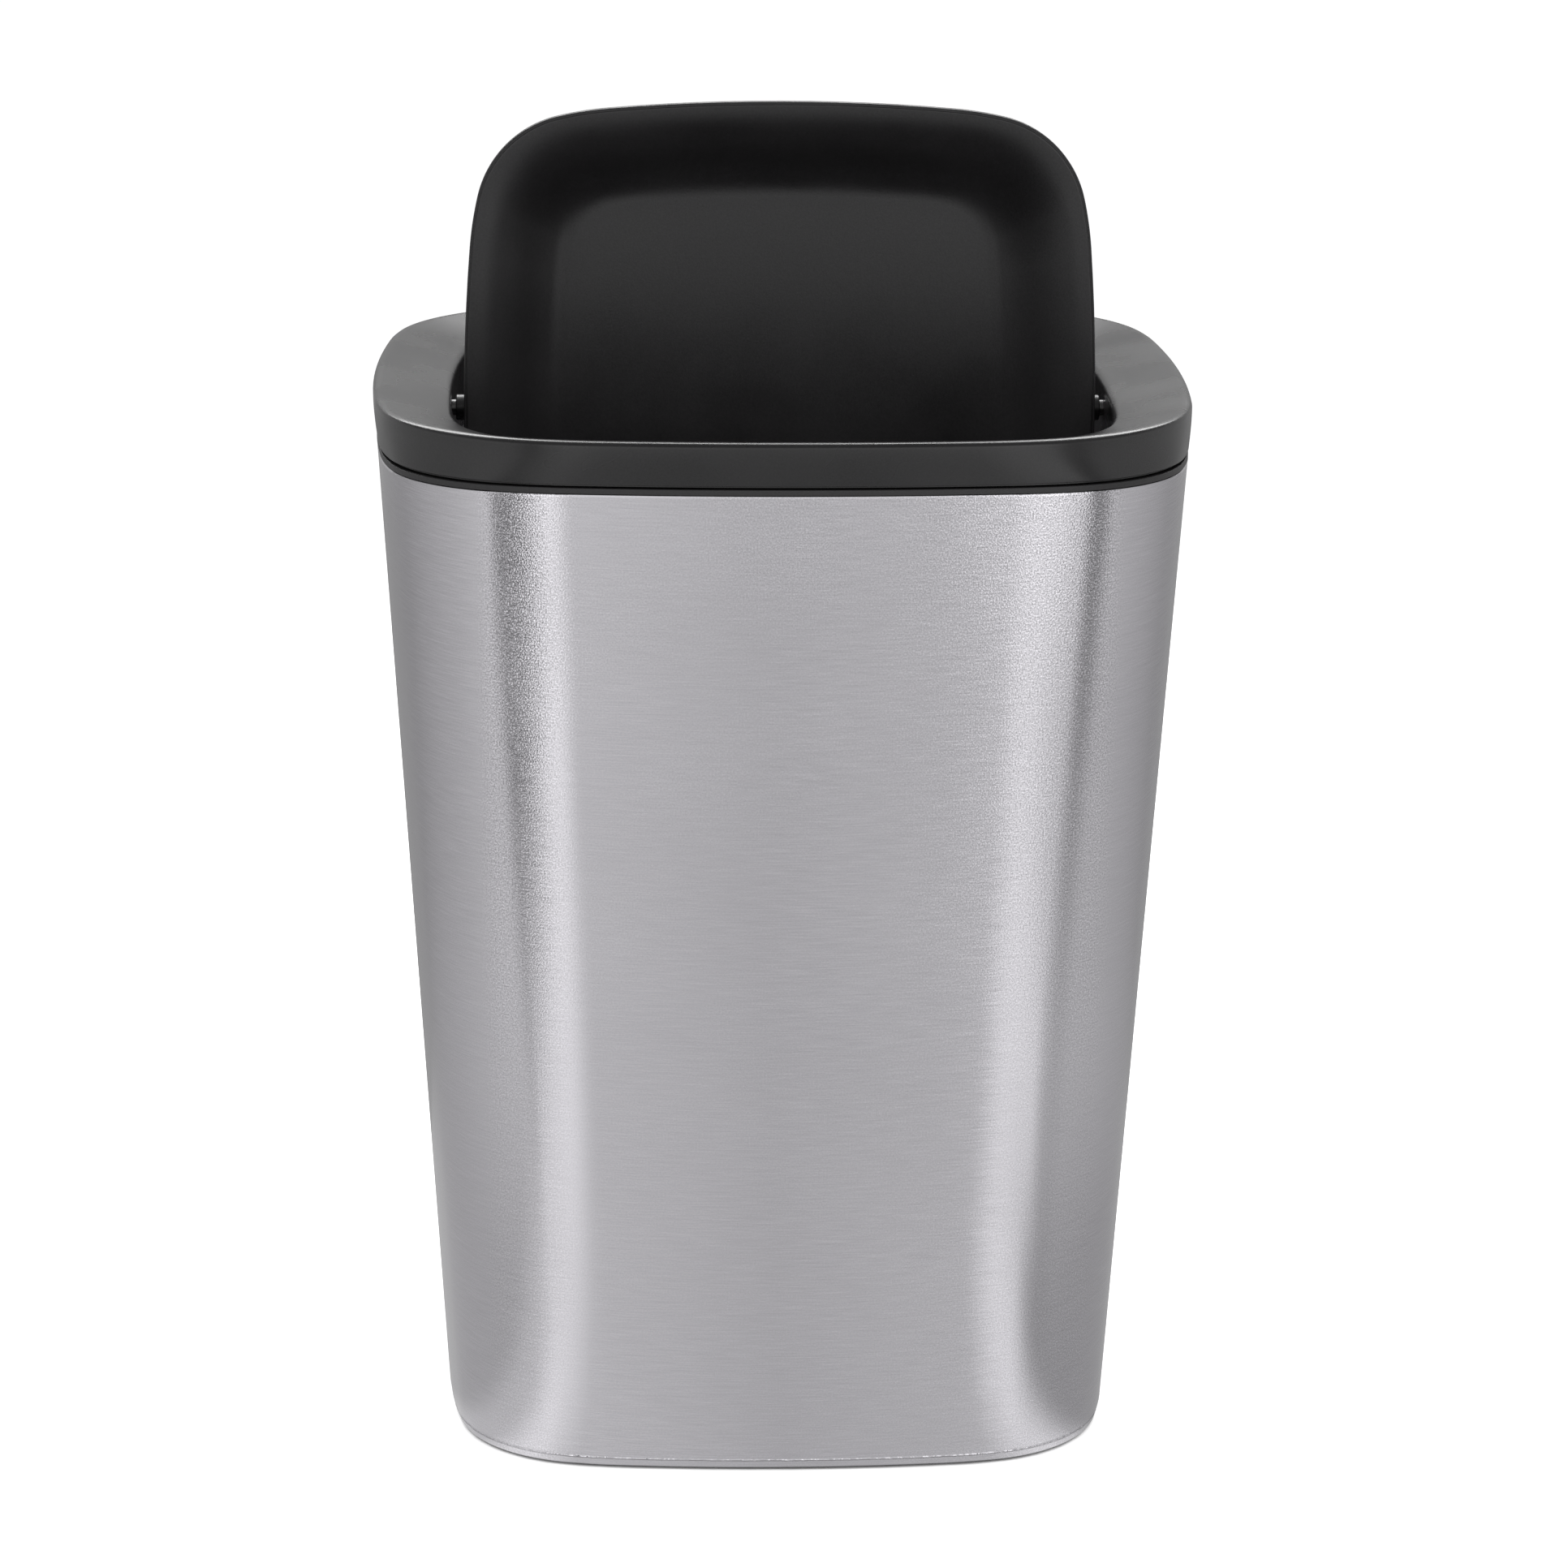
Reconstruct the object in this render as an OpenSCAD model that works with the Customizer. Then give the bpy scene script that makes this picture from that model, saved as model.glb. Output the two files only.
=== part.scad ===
/* [Steel body] */
// Height of the steel wrap's upper edge above the floor
body_h = 203.7; // [150:0.1:280]
// Width across the steel wrap at its upper edge
body_top_w = 163.7; // [156:0.1:190]
// Width across the steel wrap at its foot
body_foot_w = 138.4; // [120:0.1:150]
// Bow radius of each side at the upper edge
body_top_side_r = 416; // [300:1:900]
// Corner radius at the upper edge
body_top_corner_r = 33.7; // [25:0.1:45]
// Bow radius of each side at the foot
body_foot_side_r = 340; // [250:1:900]
// Corner radius at the foot
body_foot_corner_r = 31.3; // [25:0.1:40]
// Thickness of the steel sheet
sheet_t = 0.5; // [0.4:0.05:0.8]
// Width of the weld seam up the back
seam_w = 0.6; // [0.4:0.1:1.5]
// Depth of the weld seam
seam_d = 0.2; // [0.1:0.05:0.3]

/* [Hem and base] */
// Height of the crimped hem band above the bottom edge
hem_h = 2.1; // [1.5:0.1:4]
// How far the hem band is pressed in from the wrap above it
hem_step = 0.25; // [0.1:0.05:0.5]
// Radius of the rolled bottom edge
hem_r = 0.9; // [0.8:0.1:1.5]
// How far the hem turns in under the base pan
hem_flange = 5.5; // [3:0.1:7]
// Height of the wrap's bottom edge above the floor
floor_gap = 0.5; // [0.3:0.1:1.5]
// Thickness of the base pan's sheet
pan_t = 0.6; // [0.4:0.1:1]
// Height of the base pan's upturned wall
pan_wall_h = 6; // [4:0.5:12]
// How far the base pan's middle is raised above its seat
pan_rise = 2.4; // [1.5:0.1:4]
// How far the foot ring's tread is set in from the wrap
tread_inset = 3; // [1.5:0.1:3.5]
// Thickness of the foot ring's upright wall
tread_wall_t = 1.6; // [1:0.1:2.4]
// How far the foot ring's barb reaches over the hem
barb = 0.35; // [0.2:0.05:0.6]

/* [Rim collar] */
// Height of the collar's visible edge
collar_h = 1.25; // [0.8:0.05:3]
// Thickness of the collar's inner skirt
collar_t = 1.2; // [0.8:0.1:1.6]
// Depth of the collar's inner skirt below the steel edge
collar_skirt_h = 12; // [8:0.5:20]

/* [Lid frame] */
// How far the lid frame's upper edge stands proud of the steel, each side
ring_flare = 0.65; // [0.3:0.05:2]
// How far the band's lower edge stands proud of the steel, each side
band_proud = 0.1; // [0:0.05:0.3]
// Corner radius of the lid frame's upper edge
ring_corner_r = 43.7; // [34:0.1:48]
// Corner radius of the band's lower edge
band_corner_r = 35.5; // [32:0.1:40]
// Bow radius of the lid frame's sides
ring_side_r = 430; // [300:1:900]
// Bow radius of the band's lower edge
band_side_r = 421; // [300:1:900]
// Height of the outer band
band_h = 8.4; // [7:0.1:14]
// Thickness of the outer band
band_t = 1.8; // [1.4:0.1:2.2]
// Height of the shadow gap between band and collar
seam_gap = 0.6; // [0.4:0.05:1]
// Width of the shadow gap's outer step
seam_step = 0.7; // [0.4:0.05:1]
// Rounding of the upper outer edge
edge_r = 1; // [0.6:0.1:1.6]
// Width of the top surface from its outer edge to the throat
rim_w = 15.7; // [15:0.1:20]
// Bow radius of the throat's sides
throat_side_r = 415.7; // [300:0.1:900]
// Corner radius of the throat
throat_corner_r = 26.5; // [22:0.1:32]
// Slope of the top surface down to the opening, in degrees
funnel_slope = 12.5; // [8:0.5:16]
// Radius of the roll into the opening
roll_r = 1.6; // [1:0.1:2.6]
// Wall of the funnel and the throat
frame_t = 1.8; // [1.4:0.1:2.2]
// Depth of the throat's wall below the band's lower edge
throat_h = 10; // [6:0.5:16]
// Wall of the plug skirt that sits inside the collar
plug_t = 1.4; // [1:0.1:1.8]
// Depth of the plug skirt below the band's lower edge
plug_h = 8.5; // [6:0.5:11]
// Thickness of the ribs between the throat and the plug skirt
rib_t = 1.2; // [0.8:0.1:2]
// Distance of each rib from the middle of its side
rib_off = 24; // [15:1:30]

/* [Flap] */
// Gap all round between the flap's edge and the throat
flap_gap = 2.7; // [2.2:0.1:4]
// Depth of the dish in the flap's underside
dish_depth = 11; // [6:0.5:13]
// Width of the soft wall between the rim and the flat of the dish
dish_wall_w = 19.5; // [14:0.5:22]
// Corner radius of the flat of the dish
dish_corner_r = 12; // [6:0.5:18]
// Thickness of the flap's flat
flap_t = 1.5; // [1.2:0.1:2.2]
// Thickness of the flap's rim at its edge
rim_t = 0.9; // [0.7:0.1:1.4]
// Distance of the rim's fine groove from the flap's outer edge
groove_in = 0.35; // [0.25:0.05:0.4]
// Width of the rim's groove
groove_w = 0.25; // [0.15:0.05:0.3]
// Depth of the rim's groove
groove_d = 0.25; // [0.1:0.05:0.4]
// Height of the square lip round the flap's edge
lip_h = 2.6; // [2:0.1:3.6]
// Rounding of the lip
lip_r = 0.8; // [0.5:0.1:1]

/* [Hinge] */
// Depth of the hinge axis below the lid frame's upper edge
pivot_drop = 8.3; // [7.5:0.1:9.5]
// Distance of the hinge axis from the plane of the flap's rim
pivot_rise = 11.5; // [10:0.1:13]
// Radius of the steel pivot pins
pin_r = 1.6; // [1.2:0.05:1.8]
// Radius of the pins' heads
pin_head_r = 2.6; // [2.2:0.1:3]
// Thickness of the pins' heads
pin_head_t = 1; // [0.6:0.1:1.5]
// Radial running clearance of the pins in the lid frame
pin_play = 0.06; // [0.02:0.01:0.1]
// Radius of the rounded end of the flap's ears
ear_r = 3; // [2.6:0.1:3.4]
// Thickness of the flap's ears
ear_t = 3.4; // [2.4:0.1:5]
// Width of the flap's ears where they meet the lip
ear_foot_w = 11; // [8:0.5:16]
// Thickness of the web that ties each ear to the dish
web_t = 1.6; // [1:0.1:2.4]
// Length of the shoulder outside each ear
shoulder_l = 1.9; // [0.5:0.1:2.2]
// Radius of the bearing bosses on the lid frame
boss_r = 4.2; // [3:0.1:4.6]
// Length of the bearing bosses outside the throat
boss_l = 4.5; // [3:0.1:6]

/* [Fits] */
// Gap between parts that are pressed or clipped together
clip_gap = 0.08; // [0.05:0.01:0.15]
// Gap under the lid frame where it rests on the collar
seat_gap = 0.3; // [0.2:0.05:0.4]
// Gap between the plug skirt and the collar
plug_gap = 0.4; // [0.3:0.05:0.8]
// End gap between turning and fixed faces on the hinge
end_gap = 0.3; // [0.2:0.05:0.5]

/* [Smoothness] */
// Segments along each bowed side
side_steps = 6; // [4:2:8]
// Segments round each corner
corner_steps = 9; // [6:1:14]
// Segments along each wall of the dish
dish_steps = 7; // [5:1:10]

/* [Hidden] */
$fn = 48;
STEEL = [0.72, 0.71, 0.73];
DULL_STEEL = [0.6, 0.6, 0.62];
BLACK = [0.13, 0.13, 0.14];

// Outlines are [half width, side bow radius, corner radius]
FOOT = [body_foot_w / 2, body_foot_side_r, body_foot_corner_r];
TOP = [body_top_w / 2, body_top_side_r, body_top_corner_r];
BAND = [body_top_w / 2 + band_proud, band_side_r, band_corner_r];
RING = [body_top_w / 2 + ring_flare, ring_side_r, ring_corner_r];
THROAT = [RING[0] - rim_w, throat_side_r, throat_corner_r];
FLAP = inset(THROAT, flap_gap);
DISH = [FLAP[0] - rim_t - dish_wall_w, FLAP[1] - rim_t - dish_wall_w, dish_corner_r];

// Control points of the dish's wall below and above, as shares of its width and height
UNDER_SHARES = [[0, 0], [0.5, 0.12], [0.62, 1], [1, 1]];
OVER_SHARES = [[0, 0], [0.46, 0.13], [0.57, 1], [1, 1]];

// Depth in from the wrap at which the hem ends
hem_in = hem_step + hem_r + hem_flange;

// Heights
hem_z = floor_gap;
seat_z = hem_z + sheet_t;
collar_z = body_h + collar_h;
band_z = collar_z + seam_gap;
ring_z = band_z + band_h;
pivot_z = ring_z - pivot_drop;
throat_z = band_z - throat_h;
plug_z = band_z - plug_h;

// Places along the hinge axis
throat_x = THROAT[0];
boss_x = throat_x + frame_t + boss_l;
shoulder_x = FLAP[0] + shoulder_l;
ear_x = FLAP[0] - ear_t;

function mix(a, b, share) = a + (b - a) * share;
function inset(outline, depth) = [for (size = outline) size - depth];
function turned(point, angle, z) =
    [point.x * cos(angle) - point.y * sin(angle), point.x * sin(angle) + point.y * cos(angle), z];

// One ring of points round a soft square whose sides and corners are arcs that meet smoothly
function soft_square(outline, z) =
    let (shift = outline[0] - outline[1])
    let (reach = outline[1] - outline[2])
    let (corner = (shift + sqrt(2 * reach * reach - shift * shift)) / 2)
    let (meet = atan2(corner, corner - shift))
    [for (angle = [0:90:270]) each concat(
        [for (i = [0:side_steps - 1])
            let (a = mix(-meet, meet, i / side_steps))
            turned([shift + outline[1] * cos(a), outline[1] * sin(a)], angle, z)],
        [for (i = [0:corner_steps - 1])
            let (a = mix(meet, 90 - meet, i / corner_steps))
            turned([corner + outline[2] * cos(a), corner + outline[2] * sin(a)], angle, z)])];

// A point on a cubic curve with four control points
function curve(points, t) =
    pow(1 - t, 3) * points[0] + 3 * t * pow(1 - t, 2) * points[1]
    + 3 * t * t * (1 - t) * points[2] + pow(t, 3) * points[3];

// Outline of the steel wrap at a height, set in by a depth
function wrap_at(z, depth) = inset(mix(FOOT, TOP, z / body_h), depth);

// Triangles between neighbouring rings, wound so that a loop that rises outside faces outward
function band_faces(count, n, last) =
    [for (i = [0:last]) for (k = [0:n - 1])
        let (a = i * n + k)
        let (b = i * n + (k + 1) % n)
        let (c = ((i + 1) % count) * n + k)
        let (d = ((i + 1) % count) * n + (k + 1) % n)
        each [[a, c, d], [a, d, b]]];

// A hollow loop: rings that go up the outside, over, down the inside and back
module ring_loft(stations) {
    rings = [for (s = stations) soft_square(s[0], s[1])];
    n = len(rings[0]);
    polyhedron(points = [for (r = rings) each r],
               faces = band_faces(len(rings), n, len(rings) - 1));
}

// A closed stack: the first ring closes the underside and the last ring closes the top
module stack_loft(stations) {
    rings = [for (s = stations) soft_square(s[0], s[1])];
    n = len(rings[0]);
    last = len(rings) - 1;
    polyhedron(points = [for (r = rings) each r],
               faces = concat([[for (k = [0:n - 1]) k]],
                              [[for (k = [n - 1:-1:0]) last * n + k]],
                              band_faces(len(rings), n, last - 1)));
}

// Brushed sheet, welded up the back, crimped in and rolled under at the foot
module body_wrap() {
    round_steps = [0:30:90];
    hem_top = hem_z + hem_h;
    fillet = hem_r - sheet_t;
    lean = atan((TOP[0] - FOOT[0]) / body_h);
    color(STEEL)
    difference() {
        ring_loft(concat(
            [[wrap_at(hem_z, hem_in), hem_z]],
            [for (a = round_steps)
                [wrap_at(hem_z, hem_step + hem_r * (1 - sin(a))), hem_z + hem_r * (1 - cos(a))]],
            [[wrap_at(hem_top, hem_step), hem_top],
             [wrap_at(hem_top + hem_step, 0), hem_top + hem_step],
             [wrap_at(body_h, 0), body_h],
             [wrap_at(body_h, sheet_t), body_h],
             [wrap_at(hem_top + hem_step, sheet_t), hem_top + hem_step],
             [wrap_at(hem_top, hem_step + sheet_t), hem_top]],
            [for (a = [90:-30:0])
                [wrap_at(hem_z, hem_step + hem_r - fillet * sin(a)), seat_z + fillet * (1 - cos(a))]],
            [[wrap_at(hem_z, hem_in), seat_z]]));
        translate([0, FOOT[0], 0])
            rotate([-lean, 0, 0])
                translate([-seam_w / 2, -seam_d, hem_top + hem_r])
                    cube([seam_w, 2 * seam_d, body_h]);
    }
}

// Pressed tray that closes the foot: its edge sits on the hem and its wall hugs the wrap
module base_pan() {
    gap = hem_step + sheet_t + clip_gap;
    low = seat_z + clip_gap;
    wall_z = low + pan_wall_h;
    bend = hem_r;
    soft = bend * (1 - cos(45));
    color(DULL_STEEL)
        stack_loft([
            [wrap_at(0, hem_in), low + pan_rise],
            [wrap_at(0, hem_in - pan_rise), low],
            [wrap_at(low, gap + bend), low],
            [wrap_at(low, gap + soft), low + soft],
            [wrap_at(low, gap), low + bend],
            [wrap_at(wall_z, gap), wall_z],
            [wrap_at(wall_z, gap + pan_t), wall_z],
            [wrap_at(low, gap + pan_t), low + bend + pan_t / 2],
            [wrap_at(low, gap + pan_t + soft), low + pan_t],
            [wrap_at(0, hem_in - pan_rise - pan_t / 2), low + pan_t],
            [wrap_at(0, hem_in - pan_t / 2), low + pan_rise + pan_t]]);
}

// Black ring that the bin stands on: a tread under the hem and a wall clipped up inside it
module foot_ring() {
    wall_out = hem_in + clip_gap;
    wall_in = wall_out + tread_wall_t;
    edge = 0.2;
    tread_z = hem_z - clip_gap;
    barb_z = seat_z + clip_gap;
    wall_z = seat_z + pan_rise;
    color(BLACK)
        ring_loft([
            [wrap_at(0, wall_in - edge), 0],
            [wrap_at(0, tread_inset + edge), 0],
            [wrap_at(0, tread_inset), edge],
            [wrap_at(0, tread_inset), tread_z],
            [wrap_at(0, wall_out), tread_z],
            [wrap_at(0, wall_out), barb_z],
            [wrap_at(0, wall_out - barb), barb_z + edge],
            [wrap_at(0, wall_out), barb_z + edge + 2 * barb],
            [wrap_at(0, wall_out), wall_z],
            [wrap_at(0, wall_in), wall_z],
            [wrap_at(0, wall_in), edge]]);
}

// Black trim on the steel's upper edge, with a skirt down the inside
module rim_collar() {
    skirt = sheet_t + clip_gap;
    skirt_z = body_h - collar_skirt_h;
    edge = 0.2;
    low = body_h + clip_gap;
    color(BLACK)
        ring_loft([
            [wrap_at(skirt_z, skirt), skirt_z],
            [wrap_at(body_h, skirt), low],
            [wrap_at(body_h, 0), low],
            [wrap_at(body_h, 0), collar_z - edge],
            [wrap_at(body_h, edge), collar_z],
            [wrap_at(body_h, skirt + collar_t - edge), collar_z],
            [wrap_at(body_h, skirt + collar_t), collar_z - edge],
            [wrap_at(skirt_z, skirt + collar_t), skirt_z]]);
}

// Black funnel-shaped frame: outer band, sloping top, throat and the plug skirt inside the collar
module lid_frame() {
    tan_slope = tan(funnel_slope);
    edge = 0.25;
    band_steps = 4;
    roll_steps = 5;
    // Roll: an arc about a centre outside the throat's wall
    roll_x = throat_x + roll_r * (1 + sin(funnel_slope));
    roll_top = ring_z - (RING[0] - edge_r - roll_x) * tan_slope;
    roll_z = roll_top - roll_r * cos(funnel_slope);
    span = RING[0] - throat_x;
    under_z = roll_top - frame_t / cos(funnel_slope);
    plug_in = sheet_t + clip_gap + collar_t + plug_gap;
    plug_top = under_z + (body_top_w / 2 - plug_in - roll_x) * tan_slope;
    rest_z = collar_z + seat_gap;
    // The ribs end inside the two walls, as far in as the sides bow there
    bow = body_top_side_r - sqrt(pow(body_top_side_r, 2) - pow(rib_off, 2));
    bite = 0.4;
    throat_mid = throat_x + frame_t / 2;
    plug_mid = plug_in + plug_t / 2;
    color(BLACK)
    difference() {
        union() {
            ring_loft(concat(
                [[inset(BAND, edge), band_z]],
                [for (share = [0:1 / band_steps:1])
                    [mix(BAND, RING, sin(90 * share)), mix(band_z + edge, ring_z - edge_r, share)]],
                [for (a = [30:30:90])
                    [inset(RING, edge_r * (1 - cos(a))), ring_z - edge_r * (1 - sin(a))]],
                [for (i = [roll_steps:-1:0])
                    let (a = (90 - funnel_slope) * i / roll_steps)
                    [mix(THROAT, RING, roll_r * (1 - cos(a)) / span), roll_z + roll_r * sin(a)]],
                [[THROAT, throat_z + edge],
                 [inset(THROAT, -edge), throat_z],
                 [inset(THROAT, -frame_t), throat_z],
                 [inset(THROAT, -frame_t), under_z],
                 [inset(wrap_at(body_h, 0), plug_in + plug_t), plug_top],
                 [wrap_at(plug_z, plug_in + plug_t), plug_z],
                 [wrap_at(plug_z, plug_in + edge), plug_z],
                 [wrap_at(plug_z + edge, plug_in), plug_z + edge],
                 [wrap_at(body_h, plug_in), plug_top],
                 [inset(RING, band_t), plug_top + seam_gap],
                 [inset(BAND, band_t), rest_z],
                 [inset(BAND, seam_step), rest_z],
                 [inset(BAND, seam_step), band_z]]));
            for (side = [-1, 1])
                scale([side, 1, 1])
                    translate([throat_mid, 0, pivot_z])
                        rotate([0, 90, 0])
                            cylinder(r = boss_r, h = boss_x - throat_mid);
            for (angle = [0:90:270])
                for (off = [-rib_off, rib_off])
                    rotate([0, 0, angle])
                        translate([0, off + rib_t / 2, 0])
                            rotate([90, 0, 0])
                                linear_extrude(rib_t)
                                    polygon([
                                        [throat_mid - bow, throat_z + rib_t],
                                        [wrap_at(plug_z, plug_mid)[0] - bow, plug_z + rib_t],
                                        [wrap_at(body_h, plug_mid)[0] - bow, plug_top + bite],
                                        [throat_mid - bow, under_z + bite]]);
        }
        for (side = [-1, 1])
            scale([side, 1, 1])
                translate([throat_x - end_gap, 0, pivot_z])
                    rotate([0, 90, 0])
                        cylinder(r = pin_r + pin_play, h = boss_x - throat_x + 2 * end_gap);
    }
}

// Control points between two corners, each given as [depth in from the edge, height above the rim]
function between(low, high, shares) =
    [for (s = shares) [mix(low.x, high.x, s.x), mix(low.y, high.y, s.y)]];

dish_in = rim_t + dish_wall_w;
under = between([rim_t, 0], [dish_in, dish_depth], UNDER_SHARES);
over = between([lip_r, lip_h], [dish_in, dish_depth + flap_t], OVER_SHARES);

// Places the flap, drawn closed about its hinge axis, in its upright resting pose
module upright() {
    translate([0, 0, pivot_z])
        rotate([-90, 0, 0])
            children();
}

// Shallow dish with a soft wall, a grooved rim, a square lip and a shouldered ear at each side
module flap() {
    edge = 0.15;
    groove_end = groove_in + groove_w;
    color(BLACK)
    upright()
    difference() {
        union() {
            translate([0, 0, -pivot_rise])
                stack_loft(concat(
                    [for (i = [dish_steps:-1:0])
                        let (p = curve(under, i / dish_steps))
                        [mix(FLAP, DISH, p.x / dish_in), p.y]],
                    [[inset(FLAP, groove_end), 0],
                     [inset(FLAP, groove_end), groove_d],
                     [inset(FLAP, groove_in), groove_d],
                     [inset(FLAP, groove_in), 0],
                     [inset(FLAP, edge), 0],
                     [FLAP, edge],
                     [FLAP, lip_h - lip_r],
                     [inset(FLAP, lip_r * (1 - cos(45))), lip_h - lip_r * (1 - sin(45))]],
                    [for (i = [0:dish_steps])
                        let (p = curve(over, i / dish_steps))
                        [mix(FLAP, DISH, p.x / dish_in), p.y]]));
            for (side = [-1, 1])
                scale([side, 1, 1])
                    flap_ear();
        }
        for (side = [-1, 1])
            translate([side * (shoulder_x + ear_x) / 2, 0, 0])
                rotate([0, 90, 0])
                    cylinder(r = pin_r, h = shoulder_x - ear_x + 2 * end_gap, center = true);
    }
}

// Ear plate, its shoulder and the web that ties it to the dish's wall
module flap_ear() {
    bite = 1;
    foot_z = bite - pivot_rise;
    shoulder_r = ear_r - 0.4;
    // The web's lower edge runs inside the dish's wall, midway between its faces
    buried = [for (i = [0:dish_steps])
        let (p = (curve(under, i / dish_steps) + curve(over, i / dish_steps)) / 2)
        if (p.x > ear_t)
        [FLAP[0] - p.x, p.y - pivot_rise]];
    translate([ear_x, 0, 0])
        rotate([90, 0, 90])
            linear_extrude(ear_t - lip_r)
                union() {
                    circle(r = ear_r);
                    polygon([[-ear_foot_w / 2, foot_z], [ear_foot_w / 2, foot_z],
                             [ear_r, 0], [-ear_r, 0]]);
                }
    translate([ear_x + bite, 0, 0])
        rotate([0, 90, 0])
            cylinder(r = shoulder_r, h = shoulder_x - ear_x - bite);
    translate([0, web_t / 2, 0])
        rotate([90, 0, 0])
            linear_extrude(web_t)
                polygon(concat([[ear_x + bite, 0], [ear_x + bite, foot_z + bite]], buried));
}

// Headed steel pin pressed into one ear, from outside the lid frame
module pivot_pin(side) {
    head_x = boss_x + end_gap;
    color(STEEL)
    translate([0, 0, pivot_z])
        scale([side, 1, 1])
            rotate([0, 90, 0])
                union() {
                    translate([0, 0, ear_x])
                        cylinder(r = pin_r, h = head_x - ear_x);
                    translate([0, 0, head_x])
                        cylinder(r = pin_head_r, h = pin_head_t);
                }
}

module pivot_pin_left() {
    pivot_pin(-1);
}

module pivot_pin_right() {
    pivot_pin(1);
}

body_wrap();
base_pan();
foot_ring();
rim_collar();
lid_frame();
flap();
pivot_pin_left();
pivot_pin_right();
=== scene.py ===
"""Countertop bin: dressed model, studio and camera. Metres, +Z up, the front faces -Y."""

import math

import bpy
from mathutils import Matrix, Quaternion, Vector, noise


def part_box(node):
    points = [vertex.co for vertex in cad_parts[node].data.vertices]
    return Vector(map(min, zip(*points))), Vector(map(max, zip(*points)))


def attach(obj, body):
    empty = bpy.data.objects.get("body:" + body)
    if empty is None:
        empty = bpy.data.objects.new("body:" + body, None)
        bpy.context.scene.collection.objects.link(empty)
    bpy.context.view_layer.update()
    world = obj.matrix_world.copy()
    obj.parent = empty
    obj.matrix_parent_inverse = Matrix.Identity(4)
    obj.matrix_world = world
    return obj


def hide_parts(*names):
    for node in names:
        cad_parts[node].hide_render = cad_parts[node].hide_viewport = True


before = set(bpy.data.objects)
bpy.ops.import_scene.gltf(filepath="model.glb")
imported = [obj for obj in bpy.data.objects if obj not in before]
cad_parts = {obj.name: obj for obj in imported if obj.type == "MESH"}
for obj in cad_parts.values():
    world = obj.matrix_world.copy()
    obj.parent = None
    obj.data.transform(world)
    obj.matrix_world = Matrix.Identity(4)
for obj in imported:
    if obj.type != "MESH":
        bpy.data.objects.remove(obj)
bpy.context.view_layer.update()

MM = 0.001

# Sizes from the frame

wrap_low, wrap_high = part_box("body_wrap")
collar_low, collar_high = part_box("rim_collar")
lid_low, lid_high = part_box("lid_frame")
flap_low, flap_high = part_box("flap")
_, foot_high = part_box("foot_ring")
pan_low, pan_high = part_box("base_pan")
_, pin_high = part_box("pivot_pin_right")

BODY_H = wrap_high.z
HEM_Z = wrap_low.z
COLLAR_Z = collar_high.z
RING_Z = lid_high.z
THROAT_Z = lid_low.z
PIVOT_Z = (flap_high.z + flap_low.z) / 2
PIVOT_RISE = -flap_low.y

# Outlines are (half width, bow radius of the sides, corner radius)
FOOT = (69.2 * MM, 340 * MM, 31.3 * MM)
TOP = (wrap_high.x, 416 * MM, 33.7 * MM)
BAND = (TOP[0] + 0.1 * MM, 421 * MM, 35.5 * MM)
RING = (lid_high.x, 430 * MM, 43.7 * MM)
FLAP = ((flap_high.z - flap_low.z) / 2, 413 * MM, 23.8 * MM)
FLAP_GAP = 2.7 * MM
THROAT = tuple(size + FLAP_GAP for size in FLAP)

SHEET = 0.5 * MM
HEM_H = 2.1 * MM
CLIP_GAP = 0.08 * MM
SEAM_GAP = 0.6 * MM
PIN_R = 1.6 * MM
PIN_PLAY = 0.06 * MM
SMALL_BEVEL = 0.15 * MM

# Outlines and lofts


def mix(a, b, share):
    if isinstance(a, tuple):
        return tuple(p + (q - p) * share for p, q in zip(a, b))
    return a + (b - a) * share


def inset(outline, depth):
    return tuple(size - depth for size in outline)


def wrap_at(z, depth=0.0):
    """The steel wrap's outline at a height, set in by a depth."""
    return inset(mix(FOOT, TOP, z / BODY_H), depth)


# Easing arcs run between each side and its corner
EASE_R = 46 * MM  # how much wider than the corner's their radius is
EASE_START = 0.85  # where they start, as a share of the side's angle


def eased_corner(outline):
    """Easing arcs between a side and its corner, with the outline's width and diagonal kept.

    Gives the angles where they start and end, their centre and radius, and the corner's.
    """
    half, bow, corner = outline
    shift = half - bow
    reach = bow - corner
    centre = (shift + math.sqrt(2 * reach * reach - shift * shift)) / 2
    diagonal = centre * math.sqrt(2) + corner
    start = EASE_START * math.atan2(centre, centre - shift)
    radius = corner + EASE_R
    mid = Vector((shift, 0)) + (bow - radius) * Vector((math.cos(start), math.sin(start)))
    # The angle where they end lies between these two, and is found by halving
    low, high = start + 0.02, 0.6
    for _ in range(40):
        end = (low + high) / 2
        step = (mid.y - mid.x) / (math.cos(end) - math.sin(end))
        tight = radius - step
        place = mid.x + step * math.cos(end)
        if place * math.sqrt(2) + tight < diagonal:
            low = end
        else:
            high = end
    return start, end, mid, radius, place, tight


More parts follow.
